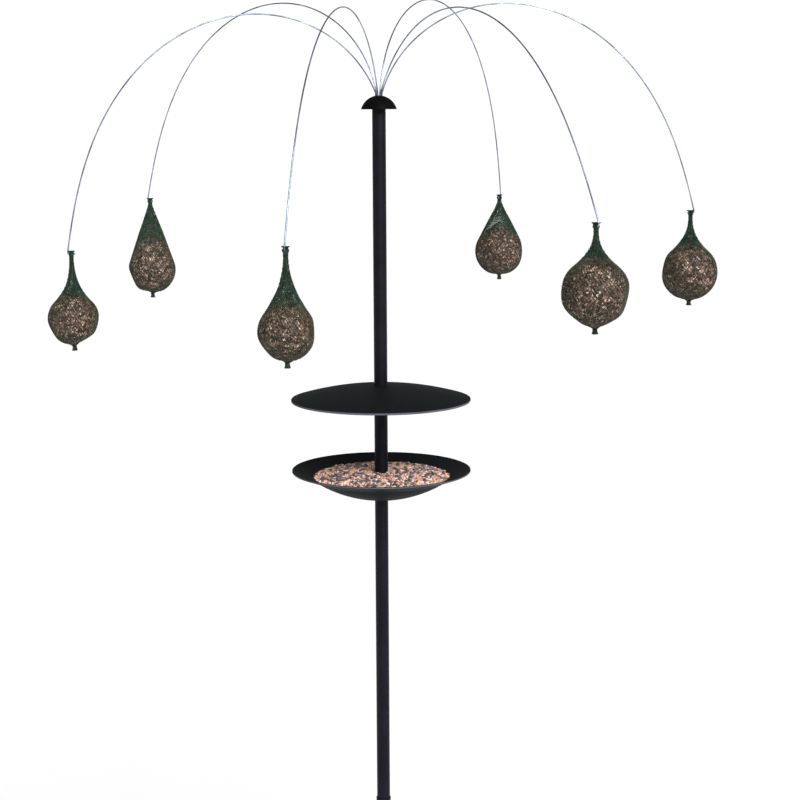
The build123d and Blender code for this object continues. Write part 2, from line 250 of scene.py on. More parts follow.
def tube_tree():
    """A round tube along the edges of the mesh, for drawn wire and for twine."""
    tree, given, output = new_tree(
        "Round Tube",
        (
            ("Diameter", "NodeSocketFloat", 1.6 * MM),
            ("Sides", "NodeSocketInt", 12),
            ("Finish", "NodeSocketMaterial", None),
        ),
    )
    path = add_node(tree, "GeometryNodeMeshToCurve", [("Mesh", given["Geometry"])])
    radius = add_node(
        tree, "ShaderNodeMath", [(0, given["Diameter"]), (1, 0.5)], operation="MULTIPLY"
    )
    ring = add_node(tree, "GeometryNodeCurvePrimitiveCircle", [
        ("Resolution", given["Sides"]), ("Radius", radius),
    ])
    tube = add_node(tree, "GeometryNodeCurveToMesh", [
        ("Curve", path), ("Profile Curve", ring), ("Fill Caps", True),
    ])
    close_tree(tree, tube, given["Finish"], output)
    return tree


def net_tree():
    """A knitted net turned from its profile line: strands slant both ways round the axis and pass
    over and under each other. The line's points carry outward, thick and gather."""
    tree, given, output = new_tree(
        "Knitted Net",
        (
            ("Axis point", "NodeSocketVector", None),
            ("Wales", "NodeSocketInt", 54),
            ("Strand diameter", "NodeSocketFloat", 0.7 * MM),
            ("Over and under", "NodeSocketFloat", 0.3 * MM),
            ("Bundle depth", "NodeSocketFloat", 0.62),
            ("Finish", "NodeSocketMaterial", None),
        ),
    )
    outward, thick, gather = (
        add_node(tree, "GeometryNodeInputNamedAttribute", [("Name", name)], data_type=kind)
        for name, kind in (("outward", "FLOAT_VECTOR"), ("thick", "FLOAT"), ("gather", "FLOAT"))
    )
    line = add_node(tree, "GeometryNodeMeshToCurve", [("Mesh", given["Geometry"])])
    course = add_node(tree, "GeometryNodeSplineParameter").outputs["Index"]
    place = add_node(tree, "GeometryNodeInputPosition")
    from_axis = add_node(
        tree, "ShaderNodeVectorMath", [(0, place), (1, given["Axis point"])], operation="SUBTRACT"
    )
    wale_turn = add_node(
        tree, "ShaderNodeMath", [(0, 2 * math.pi), (1, given["Wales"])], operation="DIVIDE"
    )
    # Even courses lie over and odd courses under, so the cosine of half turns gives 1 or -1.
    half_turns = add_node(tree, "ShaderNodeMath", [(0, course), (1, math.pi)], operation="MULTIPLY")
    over = add_node(tree, "ShaderNodeMath", [(0, half_turns)], operation="COSINE")
    both = add_node(tree, "GeometryNodeJoinGeometry")
    for slant, seed in ((1, 3), (-1, 8)):
        copies = add_node(
            tree,
            "GeometryNodeDuplicateElements",
            [("Geometry", line), ("Amount", given["Wales"])],
            domain="SPLINE",
        )
        wale = copies.outputs["Duplicate Index"]
        wales_on = add_node(
            tree,
            "ShaderNodeMath",
            [(0, course), (1, slant / 2), (2, wale)],
            operation="MULTIPLY_ADD",
        )
        turn = add_node(
            tree, "ShaderNodeMath", [(0, wales_on), (1, wale_turn)], operation="MULTIPLY"
        )
        side = add_node(tree, "ShaderNodeMath", [(0, over), (1, slant)], operation="MULTIPLY")
        lift = add_node(
            tree, "ShaderNodeMath", [(0, side), (1, given["Over and under"])], operation="MULTIPLY"
        )
        lifted = add_node(
            tree, "ShaderNodeVectorMath", [(0, outward), ("Scale", lift)], operation="SCALE"
        )
        depth = add_node(
            tree,
            "FunctionNodeRandomValue",
            [(2, 0.0), (3, given["Bundle depth"]), ("ID", wale), ("Seed", seed)],
            data_type="FLOAT",
        )
        drawn_in = add_node(
            tree, "ShaderNodeMath", [(0, depth.outputs[1]), (1, gather)], operation="MULTIPLY"
        )
        kept = add_node(tree, "ShaderNodeMath", [(0, 1.0), (1, drawn_in)], operation="SUBTRACT")
        squeeze = add_node(tree, "ShaderNodeCombineXYZ", [(0, kept), (1, kept), (2, 1.0)])
        aside = add_node(
            tree,
            "ShaderNodeVectorMath",
            [(0, from_axis), (1, squeeze), (2, lifted)],
            operation="MULTIPLY_ADD",
        )
        turned = add_node(
            tree,
            "ShaderNodeVectorRotate",
            [("Vector", aside), ("Angle", turn)],
            rotation_type="Z_AXIS",
        )
        back = add_node(
            tree, "ShaderNodeVectorMath", [(0, turned), (1, given["Axis point"])], operation="ADD"
        )
        moved = add_node(tree, "GeometryNodeSetPosition", [
            ("Geometry", copies.outputs["Geometry"]), ("Position", back),
        ])
        feed(tree, both, [(0, moved)])
    radius = add_node(
        tree, "ShaderNodeMath", [(0, given["Strand diameter"]), (1, 0.5)], operation="MULTIPLY"
    )
    ring = add_node(
        tree, "GeometryNodeCurvePrimitiveCircle", [("Resolution", 4), ("Radius", radius)]
    )
    strands = add_node(tree, "GeometryNodeCurveToMesh", [
        ("Curve", both), ("Profile Curve", ring), ("Scale", thick), ("Fill Caps", True),
    ])
    close_tree(tree, strands, given["Finish"], output)
    return tree


# Grains as sold in garden seed mixes, each with its length, width and thickness.
GRAINS = (
    ("sunflower heart", 7.5 * MM, 4.0 * MM, 2.6 * MM),
    ("wheat", 6.0 * MM, 3.0 * MM, 2.8 * MM),
    ("white millet", 2.8 * MM, 2.6 * MM, 2.4 * MM),
    ("black sunflower seed", 9.0 * MM, 4.6 * MM, 3.2 * MM),
    ("cut maize", 4.6 * MM, 4.0 * MM, 3.0 * MM),
)


def grain_tree():
    """Seeds scattered over a surface, lying nearly flat on it, each kind as often as the others."""
    tree, given, output = new_tree(
        "Scattered Grains",
        (
            ("Spacing", "NodeSocketFloat", 2.4 * MM),
            ("Grain size", "NodeSocketFloat", 1.0),
            ("Tilt", "NodeSocketFloat", 0.5),
            ("Lift", "NodeSocketFloat", 0.5 * MM),
            ("Steepest", "NodeSocketFloat", -1.0),
            ("Seed", "NodeSocketInt", 5),
            ("Finish", "NodeSocketMaterial", None),
        ),
    )
    normal = add_node(tree, "GeometryNodeInputNormal")
    height = add_node(tree, "ShaderNodeSeparateXYZ", [(0, normal)])
    upward = add_node(
        tree,
        "FunctionNodeCompare",
        [(0, height.outputs["Z"]), (1, given["Steepest"])],
        data_type="FLOAT",
        operation="GREATER_THAN",
    )
    points = add_node(
        tree,
        "GeometryNodeDistributePointsOnFaces",
        [
            ("Mesh", given["Geometry"]),
            ("Selection", upward),
            ("Distance Min", given["Spacing"]),
            ("Density Max", 4e5),
            ("Seed", given["Seed"]),
        ],
        distribute_method="POISSON",
    )
    shapes = add_node(tree, "GeometryNodeJoinGeometry")
    for _, length, width, thick in reversed(GRAINS):
        ball = add_node(
            tree, "GeometryNodeMeshUVSphere", [("Segments", 7), ("Rings", 5), ("Radius", 0.5)]
        )
        stretched = add_node(
            tree, "GeometryNodeTransform", [("Geometry", ball), ("Scale", (width, thick, length))]
        )
        laid = add_node(tree, "GeometryNodeTransform", [
            ("Geometry", stretched), ("Rotation", (math.pi / 2, 0, 0)),
        ])
        feed(tree, shapes, [(0, add_node(tree, "GeometryNodeGeometryToInstance", [(0, laid)]))])
    # Each chance has its kind, its limits and its result socket.
    chances = []
    for offset, (kind, low, high, result) in enumerate(
        (
            ("FLOAT_VECTOR", (0, (-1, -1, -1)), (1, (1, 1, 1)), 0),
            ("FLOAT", (2, 0.0), (3, 2 * math.pi), 1),
            ("FLOAT", (2, 0.8), (3, 1.15), 1),
            ("INT", (4, 0), (5, len(GRAINS) - 1), 2),
            ("FLOAT", (2, 0.0), (3, 1.0), 1),
        ),
        start=1,
    ):
        seed = add_node(tree, "ShaderNodeMath", [(0, given["Seed"]), (1, offset)], operation="ADD")
        drawn = add_node(
            tree, "FunctionNodeRandomValue", [low, high, ("Seed", seed)], data_type=kind
        )
        chances.append(drawn.outputs[result])
    tip, bearing, growth, kind, shade = chances
    tipped = add_node(
        tree, "ShaderNodeVectorMath", [(0, tip), ("Scale", given["Tilt"])], operation="SCALE"
    )
    heading = add_node(tree, "ShaderNodeCombineXYZ", [(2, bearing)])
    rest = points.outputs["Rotation"]
    for turn in (heading, tipped):
        step = add_node(tree, "FunctionNodeEulerToRotation", [(0, turn)])
        rest = add_node(
            tree, "FunctionNodeRotateRotation", [(0, rest), (1, step)], rotation_space="LOCAL"
        )
    size = add_node(
        tree, "ShaderNodeMath", [(0, growth), (1, given["Grain size"])], operation="MULTIPLY"
    )
    away = add_node(
        tree,
        "ShaderNodeVectorMath",
        [(0, points.outputs["Normal"]), ("Scale", given["Lift"])],
        operation="SCALE",
    )
    raised = add_node(tree, "GeometryNodeSetPosition", [("Geometry", points), ("Offset", away)])
    kept = add_node(tree, "GeometryNodeInstanceOnPoints", [
        ("Points", raised), ("Instance", shapes), ("Pick Instance", True), ("Instance Index", kind),
        ("Rotation", rest), ("Scale", size),
    ])
    for name, value in (("grain_kind", kind), ("grain_shade", shade)):
        kept = add_node(
            tree,
            "GeometryNodeStoreNamedAttribute",
            [("Geometry", kept), ("Name", name), ("Value", value)],
            data_type="FLOAT",
            domain="INSTANCE",
        )
    close_tree(tree, kept, given["Finish"], output)
    return tree


# ---------------------------------------------------------------- finishes


def new_finish(name):
    """A material with its tree, its shader and an object coordinate to hang patterns on."""
    finish = bpy.data.materials.new(name)
    finish.use_nodes = True
    tree = finish.node_tree
    place = add_node(tree, "ShaderNodeTexCoord").outputs["Object"]
    return finish, tree, tree.nodes["Principled BSDF"], place


def relief(tree, place, across, deep):
    """The bump of an even texture, from how far apart its crests are and how high they stand."""
    crests = add_node(
        tree, "ShaderNodeTexNoise", [("Vector", place), ("Scale", 1 / across), ("Detail", 1.0)]
    )
    return add_node(tree, "ShaderNodeBump", [("Height", crests), ("Distance", deep)])


def powder_coated_steel(colour, rubs_and_painted_highlight):
    """Steel tube, polyester powder coat: satin near-black, with a fine orange peel that softens
    reflections and a few paler rubs where hands and seed have dulled it."""
    finish, tree, shader, place = new_finish("powder_coated_steel")
    rubs = add_node(tree, "ShaderNodeTexNoise", [
        ("Vector", place), ("Scale", 1 / (22 * MM)), ("Detail", 4.0), ("Roughness", 0.6),
    ])
    base = add_node(tree, "ShaderNodeValToRGB", [("Fac", rubs)], ((0.4, colour), (0.75, rubs_and_painted_highlight)))
    dull = add_node(
        tree, "ShaderNodeMapRange", [(0, rubs), (1, 0.3), (2, 0.8), (3, 0.42), (4, 0.5)]
    )
    # Real orange peel is about 1 mm from crest to crest.
    skin = relief(tree, place, 1.1 * MM, 0.03 * MM)
    feed(tree, shader, [
        ("Base Color", base), ("Roughness", dull), ("IOR", 1.5), ("Specular IOR Level", 0.12),
        ("Normal", skin),
    ])
    return finish


def moulded_polypropylene(name, colour, worn, rim_r=None):
    """Injection-moulded polypropylene with a fine spark-eroded grain: matt black, a little greyer
    where weather has bleached it. A rim at rim_r gets a painted highlight on its outer face: pale
    violet-grey and smoother, unevenly along the rim."""
    finish, tree, shader, place = new_finish(name)
    bleached = add_node(tree, "ShaderNodeTexNoise", [
        ("Vector", place), ("Scale", 1 / (38 * MM)), ("Detail", 5.0), ("Roughness", 0.62),
    ])
    base = add_node(tree, "ShaderNodeValToRGB", [("Fac", bleached)], ((0.35, colour), (0.75, worn)))
    dull = add_node(
        tree, "ShaderNodeMapRange", [(0, bleached), (1, 0.3), (2, 0.75), (3, 0.52), (4, 0.66)]
    )
    # Painted highlight: the rim's outer face is coloured pale violet-grey and made smoother,
    # unevenly along the rim, for the light its lip catches.
    if rim_r is not None:
        level = add_node(
            tree, "ShaderNodeVectorMath", [(0, place), (1, (1.0, 1.0, 0.0))], operation="MULTIPLY"
        )
        out = add_node(tree, "ShaderNodeVectorMath", [(0, level)], operation="LENGTH")
        outer = add_node(tree, "ShaderNodeMapRange", [
            (0, out.outputs["Value"]), (1, rim_r - 0.25 * MM), (2, rim_r - 0.02 * MM),
        ])
        uneven = add_node(
            tree, "ShaderNodeMapRange", [(0, bleached), (1, 0.3), (2, 0.6), (3, 0.55), (4, 1.0)]
        )
        rubs_and_painted_highlight = add_node(tree, "ShaderNodeMath", [(0, outer), (1, uneven)], operation="MULTIPLY")
        # The painted highlight's pale violet-grey colour.
        base = add_node(
            tree,
            "ShaderNodeMix",
            [(0, rubs_and_painted_highlight), (6, base), (7, linear("#5f5b68"))],
            data_type="RGBA",
        ).outputs[2]
        dull = add_node(tree, "ShaderNodeMix", [(0, rubs_and_painted_highlight), (2, dull), (3, 0.36)])
    # The mould's grain is about 0.3 mm, drawn at 0.7 mm so that it shows at all.
    skin = relief(tree, place, 0.7 * MM, 0.02 * MM)
    feed(tree, shader, [
        ("Base Color", base), ("Roughness", dull), ("IOR", 1.49), ("Specular IOR Level", 0.035),
        ("Normal", skin),
    ])
    return finish


def turned_nylon():
    """Black nylon rod, turned: matt, with fine rings left by the tool."""
    finish, tree, shader, place = new_finish("turned_nylon")
    cloudy = add_node(tree, "ShaderNodeTexNoise", [("Vector", place), ("Scale", 1 / (9 * MM))])
    base = add_node(
        tree, "ShaderNodeValToRGB", [("Fac", cloudy)], ((0.3, "#151515"), (0.8, "#202021"))
    )
    # A turning tool feeds about 0.1 mm a turn, drawn at about 0.5 mm so that it shows.
    rings = add_node(
        tree,
        "ShaderNodeTexWave",
        [("Vector", place), ("Scale", 0.3 / MM), ("Distortion", 0.4)],
        bands_direction="Z",
    )
    skin = add_node(
        tree, "ShaderNodeBump", [("Height", rings.outputs["Fac"]), ("Distance", 0.02 * MM)]
    )
    feed(tree, shader, [
        ("Base Color", base), ("Roughness", 0.55), ("IOR", 1.53), ("Specular IOR Level", 0.15),
        ("Normal", skin),
    ])
    return finish


def zinc_plated_steel():
    """Bright zinc on steel fixings: grey metal with cloudy blue-white bloom."""
    finish, tree, shader, place = new_finish("zinc_plated_steel")
    bloom = add_node(
        tree, "ShaderNodeTexNoise", [("Vector", place), ("Scale", 1 / (1.6 * MM)), ("Detail", 3.0)]
    )
    base = add_node(
        tree, "ShaderNodeValToRGB", [("Fac", bloom)], ((0.3, "#8d929b"), (0.75, "#c3c7cc"))
    )
    dull = add_node(
        tree, "ShaderNodeMapRange", [(0, bloom), (1, 0.3), (2, 0.75), (3, 0.28), (4, 0.5)]
    )
    skin = add_node(tree, "ShaderNodeBump", [("Height", bloom), ("Distance", 0.02 * MM)])
    feed(tree, shader, [
        ("Base Color", base), ("Roughness", dull), ("Metallic", 1.0), ("Normal", skin),
    ])
    return finish


def drawn_spring_steel():
    """Hard-drawn spring steel wire: grey metal with a painted blue-lilac reflection in its colour,
    dark in patches where it has weathered.
    """
    finish, tree, shader, place = new_finish("drawn_spring_steel")
    patches = add_node(tree, "ShaderNodeTexNoise", [
        ("Vector", place), ("Scale", 1 / (30 * MM)), ("Detail", 3.0), ("Roughness", 0.65),
    ])
    # The blue-lilac tint of every stop is a painted reflection. The noise spreads darker weathered
    # patches.
    base = add_node(
        tree,
        "ShaderNodeValToRGB",
        [("Fac", patches)],
        ((0.34, "#4a5063"), (0.5, "#848da8"), (0.68, "#b5bed9")),
    )
    dull = add_node(
        tree, "ShaderNodeMapRange", [(0, patches), (1, 0.3), (2, 0.7), (3, 0.42), (4, 0.26)]
    )
    # Die lines are finer than this, and are drawn about 0.4 mm apart so that they show.
    skin = relief(tree, place, 0.4 * MM, 0.01 * MM)
    feed(tree, shader, [
        ("Base Color", base), ("Roughness", dull), ("Metallic", 1.0), ("Normal", skin),
    ])
    return finish


def knitted_polyethylene():
    """Raschel-knitted polyethylene tape, semi-matt: clean dark green where it is gathered, and
    greyed and browned by suet grease where it lies on the ball."""
    finish, tree, shader, place = new_finish("knitted_polyethylene")
    dye = add_node(
        tree, "ShaderNodeTexNoise", [("Vector", place), ("Scale", 1 / (5 * MM)), ("Detail", 3.0)]
    )
    clean = add_node(
        tree,
        "ShaderNodeValToRGB",
        [("Fac", dye)],
        ((0.32, "#0c1f14"), (0.55, "#1c3626"), (0.78, "#305236")),
    )
    greasy = add_node(
        tree,
        "ShaderNodeValToRGB",
        [("Fac", dye)],
        ((0.3, "#20231a"), (0.52, "#3a3c2c"), (0.75, "#5c5c45")),
    )
    off_ball = add_node(tree, "ShaderNodeAttribute", attribute_name="clean").outputs["Fac"]
    base = add_node(
        tree, "ShaderNodeMix", [(0, off_ball), (6, greasy), (7, clean)], data_type="RGBA"
    ).outputs[2]
    # Each tape is a few drawn filaments, about 0.3 mm apart.
    skin = relief(tree, place, 0.3 * MM, 0.05 * MM)
    feed(tree, shader, [
        ("Base Color", base), ("Roughness", 0.5), ("IOR", 1.51), ("Specular IOR Level", 0.3),
        ("Normal", skin),
    ])
    return finish


def pressed_suet():
    """Beef suet pressed with crushed seed: waxy, mottled pinkish brown with pale fat and dark
    husk, pitted where crumbs have fallen out."""
    finish, tree, shader, place = new_finish("pressed_suet")
    crumbs = add_node(tree, "ShaderNodeTexVoronoi", [("Vector", place), ("Scale", 1 / (2.6 * MM))])
    tone = add_node(tree, "ShaderNodeSeparateColor", [(0, crumbs.outputs["Color"])])
    base = add_node(
        tree,
        "ShaderNodeValToRGB",
        [("Fac", tone)],
        ((0.0, "#120c0b"), (0.35, "#38271f"), (0.6, "#5f443b"), (0.8, "#8b6c5e"), (1.0, "#dcc3b3")),
    )
    pits = add_node(
        tree, "ShaderNodeBump", [("Height", crumbs.outputs["Distance"]), ("Distance", -0.6 * MM)]
    )
    feed(tree, shader, [("Base Color", base), ("Roughness", 0.55), ("IOR", 1.45), ("Normal", pits)])
    return finish


def mixed_grain(name, colours):
    """Dry husked and whole grain: each kind has its own colour and each seed its own shade, with
    fine streaks along its skin."""
    finish, tree, shader, place = new_finish(name)
    kind = add_node(tree, "ShaderNodeAttribute", attribute_name="grain_kind").outputs["Fac"]
    share = add_node(tree, "ShaderNodeMapRange", [(0, kind), (1, -0.5), (2, len(colours) - 0.5)])
    stops = [(i / len(colours), code) for i, code in enumerate(colours)]
    skin = add_node(tree, "ShaderNodeValToRGB", [("Fac", share)], stops)
    skin.color_ramp.interpolation = "CONSTANT"
    shade = add_node(tree, "ShaderNodeAttribute", attribute_name="grain_shade").outputs["Fac"]
    streaks = add_node(
        tree, "ShaderNodeTexNoise", [("Vector", place), ("Scale", 1 / (1.2 * MM)), ("Detail", 3.0)]
    )
    tone = add_node(
        tree, "ShaderNodeMapRange", [(0, shade), (1, 0.0), (2, 1.0), (3, 0.6), (4, 1.35)]
    )
    fleck = add_node(
        tree, "ShaderNodeMapRange", [(0, streaks), (1, 0.3), (2, 0.7), (3, 0.8), (4, 1.15)]
    )
    value = add_node(tree, "ShaderNodeMath", [(0, tone), (1, fleck)], operation="MULTIPLY")
    base = add_node(tree, "ShaderNodeHueSaturation", [("Value", value), ("Color", skin)])
    ridges = add_node(tree, "ShaderNodeBump", [("Height", streaks), ("Distance", 0.08 * MM)])
    feed(
        tree, shader, [("Base Color", base), ("Roughness", 0.48), ("IOR", 1.46), ("Normal", ridges)]
    )
    return finish


def matt_paper(colour):
    """Seamless background paper: matt and very slightly fibrous."""
    finish, tree, shader, place = new_finish("seamless_paper")
    fibre = add_node(tree, "ShaderNodeTexNoise", [("Vector", place), ("Scale", 1 / (3 * MM))])
    base = add_node(tree, "ShaderNodeValToRGB", [("Fac", fibre)], ((0.0, "#f4f4f4"), (1.0, colour)))
    feed(tree, shader, [("Base Color", base), ("Roughness", 0.9), ("Specular IOR Level", 0.1)])
    return finish


# ---------------------------------------------------------------- shared places and shapes


def hook(number):
    """An arm's hook: the centre of its arc, the outward direction and the plane's normal."""
    swing = JOINTS[f"swing_{number}"]
    normal = Vector(swing["axis"]).normalized()
    return Vector(swing["pos_m"]), Vector((-normal.y, normal.x, 0)), normal


def ball(number):
    """A fat ball's centre and radius."""
    low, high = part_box(f"fat_ball_{number}")
    return (low + high) / 2, (high.x - low.x) / 2


def pressed_flat(directions, number):
    """How far out the bag reaches in each direction, as a share of the round ball: a few sides
    are pressed a little flat, and the top is left round for the neck."""
    draw = Random(40 + number)
    total = np.ones(len(directions))
    for _ in range(FLAT_SIDES):
        height, turn = draw.uniform(-1.0, 0.35), draw.uniform(0, 2 * math.pi)
        reach = math.sqrt(1 - height * height)
        side = np.array((reach * math.cos(turn), reach * math.sin(turn), height))
        facing = np.clip(directions @ side, 0, 1) / draw.uniform(*FLAT_RANGE)
        total += facing**FLAT_SHARPNESS
    return total ** (-1 / FLAT_SHARPNESS)


def bag_neck(number, hook_r, reach):
    """The neck's (radius, height) points from its throat down to where it touches the ball, and
    the angle from the ball's top at which it touches. Heights are from the ball's centre."""
    eye_z = hook(number)[0].z - ball(number)[0].z - hook_r
    throat = (THROAT_R, eye_z - THROAT_DROP)
    slack = ARMS[number - 1][2]
    straight = math.atan2(*throat) + math.acos(reach / math.hypot(*throat))
    leave = HUG_ANGLE + slack * (straight - HUG_ANGLE)
    touch = (reach * math.sin(leave), reach * math.cos(leave))
    along = (touch[0] - throat[0]) / math.cos(leave)
    bend = (throat[0], touch[1] + along * math.sin(leave))
    neck = [
        [(1 - t) ** 2 * throat[k] + 2 * t * (1 - t) * bend[k] + t * t * touch[k] for k in (0, 1)]
        for t in np.linspace(0, 1, NECK_POINTS)
    ]
    return neck, leave


def bag_profile(number, hook_r, reach, course, tuft_r):
    """The net's outline from the tuft's top to the tail's end: its (radius, height) points, their
    outward directions, and how far each is gathered and how far it is clear of the ball."""
    arc_z = hook(number)[0].z - ball(number)[0].z
    eye_z = arc_z - hook_r
    neck, leave = bag_neck(number, hook_r, reach)
    outline = [(share * tuft_r, arc_z + rise) for share, rise in TUFT]
    outline += [(0.66 * tuft_r, eye_z + 1.2 * MM), (2.9 * MM, eye_z), *neck]
    for i in range(1, BALL_STEPS + 1):
        angle = leave + (TAIL_ANGLE - leave) * i / BALL_STEPS
        outline.append((reach * math.sin(angle), reach * math.cos(angle)))
    outline += [(r, -reach - drop) for r, drop in TAIL]
    line = np.array(outline)
    lengths = np.concatenate([[0], np.cumsum(np.hypot(*np.diff(line, axis=0).T))])
    at = np.linspace(0, lengths[-1], int(lengths[-1] / course) + 1)
    line = np.stack([np.interp(at, lengths, line[:, k]) for k in (0, 1)], axis=1)
    slope = np.gradient(line, axis=0)
    outward = np.stack([-slope[:, 1], slope[:, 0]], axis=1)
    outward /= np.hypot(*outward.T)[:, None]
    bunched = 1 - smoothstep(3 * MM, 15 * MM, line[:, 0])
    from_suet = (np.hypot(*line.T) - reach) * (1 - ARMS[number - 1][3])
    clear = smoothstep(0.3 * MM, 3 * MM, from_suet)
    return line, outward, bunched, clear


# ---------------------------------------------------------------- settings


def amount(name, description, default, **more):
    """A number setting with its default."""
    return bpy.props.FloatProperty(name=name, description=description, default=default, **more)


def span(name, description, millimetres):
    """A length setting with its default."""
    return amount(name, description, millimetres * MM, unit="LENGTH")


class WireSettings(bpy.types.PropertyGroup):
    diameter: span("Wire diameter", "Diameter of the spring wire", 1.6)
    length: span("Free length", "Length of wire between its foot and its hook", 550)
    foot_bend: span("Foot bend", "Radius of the bend where the wire leaves the cap", 8)
    hook_radius: span("Hook radius", "Radius of the hook's arc, on its centreline", 4)
    hook_end: amount(
        "Hook end", "Heading of the hook's tip from straight up", math.radians(340), subtype="ANGLE"
    )
    bend_power: amount("Bend power", "How strongly the bend gathers near the pole", 1.6)


class NetSettings(bpy.types.PropertyGroup):
    wales: bpy.props.IntProperty(
        name="Wales", description="Strands round the net in each direction", default=54
    )
    course: span("Course height", "Distance down the net between crossings", 2.5)
    pitch: span("Relaxed pitch", "Width of one wale before the net is stretched", 2.1)
    strand: span("Strand diameter", "Diameter of a knitted strand on the ball", 0.55)
    tuft: span("Tuft radius", "Radius of the cut end above the knot", 4.4)


class FatBallSettings(bpy.types.PropertyGroup):
    lumps: span("Lumps", "Height of the lumps pressed into the suet", 1.0)
    spacing: span("Seed spacing", "Least distance between seeds held in the suet", 2.7)


class SeedSettings(bpy.types.PropertyGroup):
    spacing: span("Grain spacing", "Least distance between loose grains in the tray", 3.0)
    crown: span("Crown", "How far the heap stands above the bowl's mouth", 4.5)


class StageSettings(bpy.types.PropertyGroup):
    backdrop: amount("Backdrop", "Brightness of the white surroundings", 1.05)
    fill: amount("Fill light", "Strength of the even light all round", 0.38)
    key: amount("Key light", "Strength of the large soft light", 4.2)
    lens: amount("Lens", "Focal length of the camera", 77.85, unit="CAMERA")


SETTINGS = {
    "feeder_wires": WireSettings,
    "feeder_nets": NetSettings,
    "feeder_fat_balls": FatBallSettings,
    "feeder_seed": SeedSettings,
    "feeder_stage": StageSettings,
}


# ---------------------------------------------------------------- operators


class FEEDER_OT_finish_pole(bpy.types.Operator):
    """Coat the tubes, sleeve and spike, and plate the fixings"""

    bl_idname = "feeder.finish_pole"
    bl_label = "Finish Pole"

    def execute(self, context):
        coat = powder_coated_steel("#0b0a13", "#13121d")
        plate, nylon = zinc_plated_steel(), turned_nylon()
        cap = moulded_polypropylene("moulded_black_cap", "#060607", "#0b0b0c")
        finishes = {
            coat: ("pole_lower", "pole_upper", "joint_sleeve", "ground_spike"),
            plate: ("sleeve_rivets", "roof_screw", "tray_screw"),
            nylon: ("wire_holder", "roof_collar", "tray_collar"),
            cap: ("dome_cap",),
        }
        for finish, nodes in finishes.items():
            for node in nodes:
                frame["nodes"][node].material_slots[0].material = finish
        return {"FINISHED"}


class FEEDER_OT_finish_roof_and_tray(bpy.types.Operator):
    """Give the roof and the tray their moulded satin plastic"""

    bl_idname = "feeder.finish_roof_and_tray"
    bl_label = "Finish Roof and Tray"

    def execute(self, context):
        for node in ("roof_disc", "tray_bowl"):
            # Each rim's outer face gets a painted highlight.
            rim_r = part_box(node)[1].x
            finish = moulded_polypropylene(f"moulded_{node}", "#0f1213", "#17191b", rim_r)
            frame["nodes"][node].material_slots[0].material = finish
        return {"FINISHED"}


class FEEDER_OT_bend_wires(bpy.types.Operator):
    """Bend each spring wire from its socket in the cap out to its hook"""

    bl_idname = "feeder.bend_wires"
    bl_label = "Bend Wires"

    def execute(self, context):
        sizes = context.scene.feeder_wires
        tree, finish = tube_tree(), drawn_spring_steel()
        for number, (lean, tip, _, _) in enumerate(ARMS, start=1):
            line, flex_x = wire_line(number, lean, tip, sizes)
            mesh = grown(
                f"spring_wire_{number}",
                line_mesh(f"wire_line_{number}", line),
                tree,
                {"Diameter": sizes.diameter, "Sides": WIRE_SIDES, "Finish": finish},
            )
            wire = new_object(f"spring_wire_{number}", mesh)
            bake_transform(wire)
            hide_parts(f"wire_{number}_stem", f"wire_{number}")
        return {"FINISHED"}


def wire_line(number, lean, tip, sizes):
    """Points along one wire's centreline, and how far out its flexing place is."""
    foot = Vector(JOINTS[f"swivel_{number}"]["pos_m"])
    arc_centre, outward, _ = hook(number)
    end_of_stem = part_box(f"wire_{number}_stem")[0].z
    rise = foot.z - end_of_stem
    points = [(0.0, end_of_stem + rise * i / FOOT_STEPS) for i in range(FOOT_STEPS + 1)]
    bend = sizes.foot_bend
    for i in range(1, FOOT_STEPS + 1):
        heading = math.radians(lean) * i / FOOT_STEPS
        points.append((bend * (1 - math.cos(heading)), foot.z + bend * math.sin(heading)))
    x, z = points[-1]
    law = []
    step = sizes.length / WIRE_STEPS
    for i in range(WIRE_STEPS):
        share = 1 - (1 - (i + 0.5) / WIRE_STEPS) ** sizes.bend_power
        heading = math.radians(lean + (tip - lean) * share)
        x, z = x + step * math.sin(heading), z + step * math.cos(heading)
        law.append((x, z))
    # The hook is an arc about the swing joint, and the wire's small miss is shared out along it.
    centre = ((arc_centre - foot).dot(outward), arc_centre.z)
    radius, last = sizes.hook_radius, math.radians(tip)
    hook_arc = []
    while last < sizes.hook_end + 1e-6:
        hook_arc.append((centre[0] - radius * math.cos(last), centre[1] + radius * math.sin(last)))
        last += (sizes.hook_end - math.radians(tip)) / HOOK_STEPS
    off = (hook_arc[0][0] - law[-1][0], hook_arc[0][1] - law[-1][1])
    for i in range(WIRE_KEPT - 1, WIRE_STEPS, WIRE_KEPT):
        share = ((i + 1) / WIRE_STEPS) ** 2
        points.append((law[i][0] + off[0] * share, law[i][1] + off[1] * share))
    points += hook_arc[1:]
    line = [Vector((foot.x, foot.y, 0)) + outward * px + UP * pz for px, pz in points]
    return line, (Vector(JOINTS[f"flex_{number}"]["pos_m"]) - foot).dot(outward)


